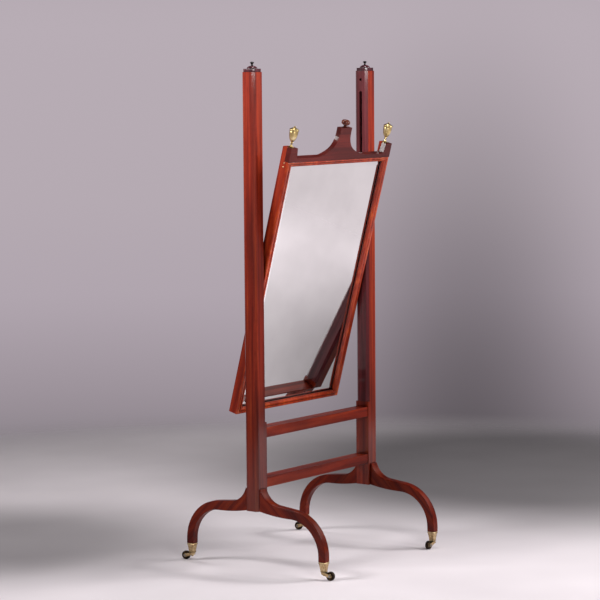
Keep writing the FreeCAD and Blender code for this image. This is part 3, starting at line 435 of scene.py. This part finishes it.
def softenNode(nodeName, width, segments):
    piece = bpy.data.objects.new("soft_" + nodeName, nodes[nodeName].data.copy())
    bpy.context.scene.collection.objects.link(piece)
    only(piece)
    bpy.ops.object.mode_set(mode="EDIT")
    bpy.ops.mesh.select_all(action="SELECT")
    bpy.ops.mesh.remove_doubles(threshold=edgeLook["weld"])
    bpy.ops.mesh.dissolve_limited(angle_limit=math.radians(edgeLook["flatAngle"]))
    bpy.ops.object.mode_set(mode="OBJECT")
    bevel = piece.modifiers.new("edges", "BEVEL")
    bevel.width, bevel.segments = width, segments
    bevel.limit_method, bevel.angle_limit = "ANGLE", math.radians(edgeLook["sharpAngle"])
    bevel.miter_outer = "MITER_ARC"
    applyAll(piece)
    settle(piece, "soft_" + nodeName, None, nodes[nodeName]["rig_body"], 50, flat=True)
    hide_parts(nodeName)


for nodeName in sorted(nodes):
    for ending, (width, segments) in softEdges.items():
        if nodeName.endswith(ending):
            softenNode(nodeName, width, segments)
            break
print("edges rounded")


# turned and drawn shapes: rings (halfWidth, halfDepth, height) grow one from the other
def growRings(rings, closeTop=True):
    bpy.ops.mesh.select_all(action="SELECT")
    for before, ring in zip(rings, rings[1:]):
        bpy.ops.mesh.extrude_region_move(
            TRANSFORM_OT_translate={"value": (0, 0, ring[2] - before[2])})
        bpy.ops.transform.resize(value=(ring[0] / before[0], ring[1] / before[1], 1),
                                 center_override=(0, 0, ring[2]))
    if closeTop:
        bpy.ops.mesh.merge(type="CENTER")
    bpy.ops.mesh.select_all(action="SELECT")
    bpy.ops.mesh.normals_make_consistent(inside=False)
    bpy.ops.object.mode_set(mode="OBJECT")


# profile is (radius, height) in millimetres, from the foot up
def turnedPiece(profile, segments):
    rings = [(r / 1000, r / 1000, h / 1000) for r, h in profile]
    bpy.ops.object.select_all(action="DESELECT")
    bpy.ops.mesh.primitive_circle_add(vertices=segments, radius=rings[0][0], fill_type="NGON",
                                      location=(0, 0, rings[0][2]))
    bpy.ops.object.mode_set(mode="EDIT")
    growRings(rings)
    bpy.ops.object.transform_apply(location=True, rotation=True, scale=True)
    return bpy.context.object


def rounded(piece):
    smooth = piece.modifiers.new("round", "SUBSURF")
    smooth.levels = smooth.render_levels = 1
    applyAll(piece)
    return piece


# what repeats is made once, as a pattern, and each place gets a copy with its own mesh
def copyOf(pattern, place):
    piece = bpy.data.objects.new(pattern.name, pattern.data.copy())
    bpy.context.scene.collection.objects.link(piece)
    piece.matrix_world = place
    return piece


def middleOf(nodeName):
    low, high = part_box(nodeName)
    return (low + high) / 2


# brass urns on the horns of the crest: turned foot and stem, lobed body, rim, lid and tip
urnLook = {"profile": [(9.5, 0), (9.5, 1.0), (9.0, 1.6), (7.6, 2.2), (5.6, 3.2), (3.9, 4.8),
                       (3.0, 7.0), (2.8, 10.0), (2.9, 12.4), (4.0, 13.2), (4.5, 14.2),
                       (4.0, 15.2), (3.2, 16.0), (3.6, 17.2), (6.0, 19.6), (8.4, 23.0),
                       (10.2, 26.6), (11.4, 30.0), (12.3, 33.5), (13.0, 37.5), (13.6, 42.0),
                       (13.9, 46.0), (13.9, 49.0), (13.2, 50.4), (13.2, 51.2), (14.6, 52.0),
                       (15.0, 53.4), (15.0, 55.6), (14.5, 57.0), (13.4, 57.8), (12.0, 57.4),
                       (11.0, 57.8), (10.0, 59.2), (8.2, 60.6), (5.8, 61.6), (3.4, 62.3),
                       (2.2, 62.8), (2.0, 63.4), (2.8, 64.0), (3.4, 65.0), (3.0, 66.0),
                       (1.8, 66.7), (0.7, 66.95)],
           "lobes": 12, "columns": 4, "lobeFrom": 0.019, "lobeTo": 0.045, "lobeDepth": 0.955,
           "hornTop": 0.4335}


def makeUrn(look):
    piece = turnedPiece(look["profile"], look["lobes"] * look["columns"])
    lobeAngle = 360 / look["lobes"]
    bpy.ops.object.mode_set(mode="EDIT")
    bpy.ops.mesh.select_all(action="DESELECT")
    bpy.ops.object.mode_set(mode="OBJECT")
    # the first column of each lobe is pressed in, found to within a degree
    for vertex in piece.data.vertices:
        angle = math.degrees(math.atan2(vertex.co.y, vertex.co.x)) % lobeAngle
        onBody = look["lobeFrom"] < vertex.co.z < look["lobeTo"]
        vertex.select = onBody and min(angle, lobeAngle - angle) < 1
    bpy.ops.object.mode_set(mode="EDIT")
    bpy.ops.transform.resize(value=(look["lobeDepth"], look["lobeDepth"], 1),
                             center_override=(0, 0, 0))
    bpy.ops.object.mode_set(mode="OBJECT")
    return rounded(piece)


urnPattern = makeUrn(urnLook)
for side in sides:
    hornTop = (middleOf(side + "_finial").x, 0, urnLook["hornTop"])
    urn = copyOf(urnPattern, onMirror @ Matrix.Translation(hornTop))
    settle(urn, side + "_urn", lacqueredBrass, "mirror", 50)
    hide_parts(side + "_finial")
bpy.data.objects.remove(urnPattern)
print("urns turned")


# flattened knob in the middle of the crest
crestKnobLook = {"profile": [(8.0, 0), (8.0, 0.8), (7.0, 1.5), (5.0, 2.1), (4.4, 3.2), (4.4, 4.8),
                             (5.2, 5.8), (7.0, 6.4), (7.4, 7.0), (6.8, 7.6), (9.6, 8.2),
                             (12.4, 9.8), (13.8, 12.4), (14.0, 14.2), (14.0, 16.4),
                             (13.7, 18.8), (12.4, 21.4), (9.8, 23.4), (6.2, 24.3), (2.2, 24.45)],
                 "place": (0, -0.0085, 0.493), "facets": 40}


def makeCrestKnob(look):
    piece = rounded(turnedPiece(look["profile"], look["facets"]))
    piece.matrix_world = onMirror @ Matrix.Translation(look["place"])
    settle(piece, "crest_turned_knob", knobWood, "mirror", 50)
    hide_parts("crest_knob")


makeCrestKnob(crestKnobLook)


# post caps end in a low dome with a black flared button on it
capKnobLook = {"dome": [(17.0, 0), (17.0, 0.9), (16.6, 2.2), (15.2, 4.2), (12.8, 6.2), (9.8, 7.8),
                        (6.6, 8.9), (4.0, 9.4)],
               "button": [(4.2, 8.8), (4.2, 9.8), (3.1, 10.6), (2.7, 12.2), (2.9, 14.0),
                          (4.0, 15.6), (5.8, 17.0), (6.5, 18.2), (6.4, 19.4), (5.2, 20.8),
                          (3.2, 21.6), (1.2, 21.9)], "height": 0.022, "facets": 32}


def capPlace(side, look):
    low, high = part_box(side + "_cap_knob")
    middle = (low + high) / 2
    return Matrix.Translation((middle.x, middle.y, high.z - look["height"]))


domePattern = rounded(turnedPiece(capKnobLook["dome"], capKnobLook["facets"]))
buttonPattern = rounded(turnedPiece(capKnobLook["button"], capKnobLook["facets"]))
for side in sides:
    capTop = capPlace(side, capKnobLook)
    settle(copyOf(domePattern, capTop), side + "_cap_dome", cappedWood, "root", 50)
    button = copyOf(buttonPattern, capTop)
    settle(button, side + "_cap_button", ebonisedWood, "root", 50)
    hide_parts(side + "_cap_knob")
bpy.data.objects.remove(domePattern)
bpy.data.objects.remove(buttonPattern)
print("knobs turned")


# red moulding round the glass: two rounds with a sunk line between, then a step to the glass.
# across goes from 0 at the outside of the frame to 1 at the glass, rise is in millimetres
mouldingLook = {"side": (0.270, 0.245), "bottom": (-0.443, -0.423), "top": (0.388, 0.373),
                "back": -0.009,
                "profile": [(0.0, 0.0), (0.0, 5.4), (0.03, 6.9), (0.10, 7.8), (0.20, 8.0),
                            (0.32, 7.7), (0.40, 6.8), (0.43, 5.2), (0.47, 5.2), (0.49, 6.8),
                            (0.54, 7.6), (0.62, 7.6), (0.71, 6.9), (0.80, 5.6), (0.86, 4.2),
                            (0.88, 3.0), (0.96, 3.0), (1.0, 2.4), (1.0, 0.0)]}


def mouldingRing(look, across):
    halfWide = look["side"][0] + (look["side"][1] - look["side"][0]) * across
    low = look["bottom"][0] + (look["bottom"][1] - look["bottom"][0]) * across
    high = look["top"][0] + (look["top"][1] - look["top"][0]) * across
    return halfWide, (high - low) / 2, (high + low) / 2


def makeMoulding(look):
    bpy.ops.object.select_all(action="DESELECT")
    halfWide, halfTall, middle = mouldingRing(look, 0)
    bpy.ops.mesh.primitive_plane_add(size=2, location=(0, 0, 0))
    piece = bpy.context.object
    bpy.ops.object.mode_set(mode="EDIT")
    bpy.ops.transform.resize(value=(halfWide, halfTall, 1), center_override=(0, 0, 0))
    bpy.ops.transform.translate(value=(0, middle, 0))
    bpy.ops.mesh.delete(type="ONLY_FACE")
    bpy.ops.mesh.select_all(action="SELECT")
    lastRise = 0
    for across, rise in look["profile"][1:]:
        wide, tall, centre = mouldingRing(look, across)
        bpy.ops.mesh.extrude_region_move(TRANSFORM_OT_translate={
            "value": (0, centre - middle, (rise - lastRise) / 1000)})
        bpy.ops.transform.resize(value=(wide / halfWide, tall / halfTall, 1),
                                 center_override=(0, centre, rise / 1000))
        halfWide, halfTall, middle, lastRise = wide, tall, centre, rise
    bpy.ops.mesh.select_all(action="DESELECT")
    bpy.ops.mesh.select_non_manifold(extend=False)
    bpy.ops.mesh.bridge_edge_loops()
    bpy.ops.mesh.select_all(action="SELECT")
    bpy.ops.mesh.remove_doubles(threshold=0.00001)
    bpy.ops.mesh.normals_make_consistent(inside=False)
    bpy.ops.object.mode_set(mode="OBJECT")
    stand = Matrix.Translation((0, look["back"], 0)) @ Matrix.Rotation(math.radians(90), 4, "X")
    piece.matrix_world = onMirror @ stand
    settle(piece, "rolled_moulding", mahoganyMoulding, "mirror", 30)
    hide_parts("front_mouldings")


makeMoulding(mouldingLook)
print("moulding drawn round the glass")


# square brass cups on the feet: tapered, with a round bead at the top and a band at the bottom
cupLook = {"rings": [(7.4, 7.4, 0), (8.3, 8.3, 0.7), (8.5, 8.5, 1.6), (8.5, 8.5, 3.2),
                     (8.1, 8.1, 3.9), (8.0, 8.1, 4.6), (9.2, 9.8, 16.0), (10.5, 11.5, 25.6),
                     (10.7, 11.7, 26.2), (11.7, 12.7, 26.8), (12.0, 13.0, 27.8),
                     (12.0, 13.0, 28.8), (11.6, 12.6, 29.7), (11.1, 12.1, 30.2),
                     (11.3, 12.3, 30.8), (11.3, 12.3, 31.9)], "edge": 0.0011,
           "edgeSteps": 3, "sharpAngle": 60}


def makeCup(look):
    bpy.ops.object.select_all(action="DESELECT")
    bpy.ops.mesh.primitive_plane_add(size=0.002, location=(0, 0, 0))
    piece = bpy.context.object
    bpy.ops.object.mode_set(mode="EDIT")
    firstWide, firstDeep, firstHeight = look["rings"][0]
    bpy.ops.transform.resize(value=(firstWide, firstDeep, 1), center_override=(0, 0, firstHeight))
    growRings([(a / 1000, b / 1000, h / 1000) for a, b, h in look["rings"]], closeTop=False)
    bevel = piece.modifiers.new("edges", "BEVEL")
    bevel.width, bevel.segments = look["edge"], look["edgeSteps"]
    bevel.limit_method, bevel.angle_limit = "ANGLE", math.radians(look["sharpAngle"])
    applyAll(piece)
    return piece


def cupPlace(corner):
    low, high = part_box(corner + "_cup")
    return Matrix.Translation(((low.x + high.x) / 2, (low.y + high.y) / 2, low.z))


# wheels: bronze tyre with rounded shoulders, sunk web and a brass hub
wheelLook = {"profile": [(3.2, 0.5), (4.9, 0.5), (5.4, 1.0), (5.5, 1.9), (6.2, 2.3), (9.0, 2.3),
                         (9.8, 1.6), (10.6, 0.6), (11.6, 0.1), (12.6, 0.3), (13.5, 1.2),
                         (13.9, 2.6), (14.0, 4.2), (14.0, 7.8), (13.9, 9.4), (13.5, 10.8),
                         (12.6, 11.7), (11.6, 11.9), (10.6, 11.4), (9.8, 10.4), (9.0, 9.7),
                         (6.2, 9.7), (5.5, 10.1), (5.4, 11.0), (4.9, 11.5), (3.2, 11.5)],
             "width": 0.012, "hub": 0.0068, "facets": 48}
rollAxis = {row["name"]: Vector(row["axis"]) for row in frame["joints"]}


def makeWheel(look):
    piece = turnedPiece(look["profile"], look["facets"])
    piece.data.materials.append(darkBronze)
    piece.data.materials.append(wornBrass)
    for face in piece.data.polygons:
        if math.hypot(face.center.x, face.center.y) < look["hub"]:
            face.material_index = 1
    return piece


def wheelPlace(corner, look):
    turn = rollAxis[corner + "_roll"].to_track_quat("Z", "Y").to_matrix().to_4x4()
    return (Matrix.Translation(middleOf(corner + "_wheel")) @ turn
            @ Matrix.Translation((0, 0, -look["width"] / 2)))


cupPattern, wheelPattern = makeCup(cupLook), makeWheel(wheelLook)
for corner in corners:
    cup = copyOf(cupPattern, cupPlace(corner))
    settle(cup, corner + "_cast_cup", wornBrass, "root", 40)
    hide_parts(corner + "_cup")
    wheel = copyOf(wheelPattern, wheelPlace(corner, wheelLook))
    settle(wheel, corner + "_bronze_wheel", None, corner + "_roll", 35)
    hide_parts(corner + "_wheel")
bpy.data.objects.remove(cupPattern)
bpy.data.objects.remove(wheelPattern)
print("casters cast")


# brass screw heads in the side of each stile, near the top
screwLook = {"heights": (0.382, 0.370), "face": 0.270, "facets": 20,
             "profile": [(2.4, -0.6), (2.4, 0.1), (2.2, 0.5), (1.5, 0.75), (0.7, 0.85)]}


def screwPlace(way, height, look):
    turn = Matrix.Rotation(math.radians(90 * way), 4, "Y")
    return onMirror @ Matrix.Translation((way * look["face"], 0, height)) @ turn


screwPattern = turnedPiece(screwLook["profile"], screwLook["facets"])
for side, way in zip(sides, (-1, 1)):
    for number, height in enumerate(screwLook["heights"], 1):
        screw = copyOf(screwPattern, screwPlace(way, height, screwLook))
        settle(screw, side + "_stile_screw_" + str(number), wornBrass, "mirror",
               40)
bpy.data.objects.remove(screwPattern)
print("screws in")


# the long cord in each post, hung from the pulley to the carriage: a thin round cord inside the run's
# own radius
ropeLook = {"radius": 0.00102, "runRadius": 0.0015, "points": 12, "turnLength": 0.006, "steps": 9,
            "weld": 0.000001, "travel": 0.45}


def makeRope(length, look):
    bpy.ops.object.select_all(action="DESELECT")
    bpy.ops.mesh.primitive_circle_add(vertices=look["points"], radius=look["radius"],
                                      location=(0, 0, 0))
    piece = bpy.context.object
    twist = piece.modifiers.new("twist", "SCREW")
    twist.steps = twist.render_steps = look["steps"]
    twist.iterations = round(length / look["turnLength"])
    twist.screw_offset = length / twist.iterations
    applyAll(piece)
    bpy.ops.object.mode_set(mode="EDIT")
    bpy.ops.mesh.select_all(action="SELECT")
    bpy.ops.mesh.remove_doubles(threshold=look["weld"])
    bpy.ops.mesh.select_all(action="DESELECT")
    bpy.ops.mesh.select_non_manifold(extend=False)
    bpy.ops.mesh.edge_face_add()
    bpy.ops.mesh.select_all(action="SELECT")
    bpy.ops.mesh.normals_make_consistent(inside=False)
    bpy.ops.object.mode_set(mode="OBJECT")
    return piece


ropeLow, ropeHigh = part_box("carriage_cords")
ropeLength = ropeHigh.z - ropeLow.z
ropePattern = makeRope(ropeLength, ropeLook)
for side, way in zip(sides, (-1, 1)):
    x, y = way * (ropeHigh.x - ropeLook["runRadius"]), (ropeLow.y + ropeHigh.y) / 2
    rope = copyOf(ropePattern, Matrix.Translation((x, y, ropeLow.z)))
    settle(rope, side + "_carriage_rope", cottonCord, "root", 50)
    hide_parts("carriage_cords")
    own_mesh(rope)
bpy.data.objects.remove(ropePattern)
print("cords laid")


# paper floor with painted shadow pools on it, that fades out at its rim, and a backdrop that grows
# darker upwards
studioLook = {"floorSize": 3.3, "rim": (0.72, 0.99), "floorColour": "#dcd3d7", "floorShade": "#d2c9cd",
              "shades": [{"place": (1.9, 0.25, 0), "reach": (0.7, 1.75), "depth": 0.19},
                         {"place": (-0.4, 0.95, 0), "reach": (0.25, 0.95), "depth": 0.42}],
              "sky": [(0.0, "#efe5e9"), (0.39, "#ebe1e5"), (0.4225, "#8a8389"),
                      (0.431, "#9a9098"), (0.452, "#b0a5ae"), (0.472, "#b5aab2"),
                      (0.51, "#b8adb5"), (0.55, "#a89ea6"), (0.62, "#454146"),
                      (0.8, "#2c2a2e")],
              "poolPlace": (0.829, 0.542, -0.141), "poolReach": 0.085, "poolDepth": 0.42,
              "poolShape": (1, 1, 0.45), "litSide": (0.797, 0.605, 0), "litEdge": (0.35, 0.85),
              "dimSide": 0.3, "dimFloor": (-0.14, -0.22),
              "skyStrength": 1.0}


def addStage(look):
    bpy.ops.object.select_all(action="DESELECT")
    bpy.ops.mesh.primitive_circle_add(vertices=96, radius=look["floorSize"], fill_type="NGON")
    floor = bpy.context.object
    floor.name = "studioFloor"
    made, tree = startMaterial("paperFloor")
    spot = addNode(tree, "TexCoord")
    reach = addNode(tree, "VectorMath", {0: (spot, "Object")}, operation="LENGTH")
    rim = addNode(tree, "MapRange", {"Value": (reach, "Value"),
                                     1: look["floorSize"] * look["rim"][0],
                                     2: look["floorSize"] * look["rim"][1], 3: 0.0, 4: 1.0},
                  interpolation_type="SMOOTHSTEP")
    grain = addNode(tree, "TexNoise", {"Vector": (spot, "Object"), "Scale": 2.0})
    tone = addNode(tree, "ValToRGB", {"Fac": (grain, 0)},
                   stops=[(0.3, look["floorShade"]), (0.7, look["floorColour"])])
    shaded, output = tone, 0
    # painted shadows: each pool darkens the floor colour around its place
    for pool in look["shades"]:
        away = addNode(tree, "VectorMath", {0: (spot, "Object"), 1: pool["place"]},
                       operation="DISTANCE")
        shade = addNode(tree, "MapRange", {"Value": (away, "Value"), 1: pool["reach"][0],
                                           2: pool["reach"][1], 3: pool["depth"], 4: 1.0},
                        interpolation_type="SMOOTHSTEP")
        shaded = addNode(tree, "Mix", {0: 1.0, 6: (shaded, output), 7: (shade, 0)},
                         data_type="RGBA", blend_type="MULTIPLY")
        output = 2
    paper = addNode(tree, "BsdfPrincipled", {"Base Color": (shaded, 2), "Roughness": 0.7})
    clear = addNode(tree, "BsdfTransparent")
    both = addNode(tree, "MixShader", {0: (rim, 0), 1: (paper, 0), 2: (clear, 0)})
    addNode(tree, "OutputMaterial", {"Surface": (both, 0)})
    floor.data.materials.append(made)
    world = bpy.data.worlds.new("studioSky")
    bpy.context.scene.world = world
    world.use_nodes = True
    tree = world.node_tree
    tree.nodes.clear()
    spot = addNode(tree, "TexCoord")
    parts = addNode(tree, "SeparateXYZ", {0: (spot, "Generated")})
    height = addNode(tree, "MapRange", {"Value": (parts, "Z"), 1: -1.0, 2: 1.0})
    shade = addNode(tree, "ValToRGB", {"Fac": (height, 0)}, stops=look["sky"])
    # a soft shadow on the backdrop behind the right post
    past = addNode(tree, "VectorMath", {0: (spot, "Generated"), 1: look["poolPlace"]},
                   operation="SUBTRACT")
    flat = addNode(tree, "VectorMath", {0: (past, 0), 1: look["poolShape"]}, operation="MULTIPLY")
    away = addNode(tree, "VectorMath", {0: (flat, 0)}, operation="LENGTH")
    pool = addNode(tree, "MapRange", {"Value": (away, "Value"), 1: 0.0, 2: look["poolReach"],
                                      3: look["poolDepth"], 4: 1.0},
                   interpolation_type="SMOOTHSTEP")
    shaded = addNode(tree, "Mix", {0: 1.0, 6: (shade, 0), 7: (pool, 0)},
                     data_type="RGBA", blend_type="MULTIPLY")
    # the backdrop stands on one side only; the room is dim on the others, down to the floor
    facing = addNode(tree, "VectorMath", {0: (spot, "Generated"), 1: look["litSide"]},
                     operation="DOT_PRODUCT")
    lit = addNode(tree, "MapRange", {"Value": (facing, "Value"), 1: look["litEdge"][0],
                                     2: look["litEdge"][1], 3: look["dimSide"], 4: 1.0})
    floorward = addNode(tree, "MapRange", {"Value": (parts, "Z"), 1: look["dimFloor"][0],
                                           2: look["dimFloor"][1]})
    reached = addNode(tree, "Math", {0: (lit, 0), 1: (floorward, 0)}, operation="MAXIMUM")
    roomy = addNode(tree, "Mix", {0: 1.0, 6: (shaded, 2), 7: (reached, 0)},
                    data_type="RGBA", blend_type="MULTIPLY")
    sky = addNode(tree, "Background", {"Color": (roomy, 2), "Strength": look["skyStrength"]})
    addNode(tree, "OutputWorld", {"Surface": (sky, 0)})


addStage(studioLook)

# overhead box, front box, and boxes at the sides; edgeBox is what the post's chamfer reflects
studioLights = [
    {"name": "overhead", "place": (0.1, -0.1, 3.4), "aim": (0.1, 0, 0), "size": 0.3,
     "power": 23},
    {"name": "frontHigh", "place": (1.5, -2.6, 2.3), "aim": (0, 0, 1.2), "size": 1.2,
     "power": 66},
    {"name": "leftBox", "place": (-1.9, 1.3, 2.4), "aim": (-0.3, 0, 1.45), "size": 0.8,
     "power": 60},
    {"name": "edgeBox", "place": (-2.0, -2.75, 1.95), "aim": (-0.3, 0, 1.4), "size": 0.8,
     "power": 44},
    {"name": "rightFloor", "place": (2.6, -2.2, 3.1), "aim": (2.4, -1.9, 0.0), "size": 0.9,
     "power": 112}]


def addLight(look):
    data = bpy.data.lights.new(look["name"], "AREA")
    data.shape, data.size, data.energy = "SQUARE", look["size"], look["power"]
    light = bpy.data.objects.new(look["name"], data)
    bpy.context.scene.collection.objects.link(light)
    light.location = look["place"]
    away = Vector(look["aim"]) - Vector(look["place"])
    light.rotation_euler = away.to_track_quat("-Z", "Y").to_euler()


for light in studioLights:
    addLight(light)
bpy.context.scene.view_settings.view_transform = "Standard"
print("stage lit")
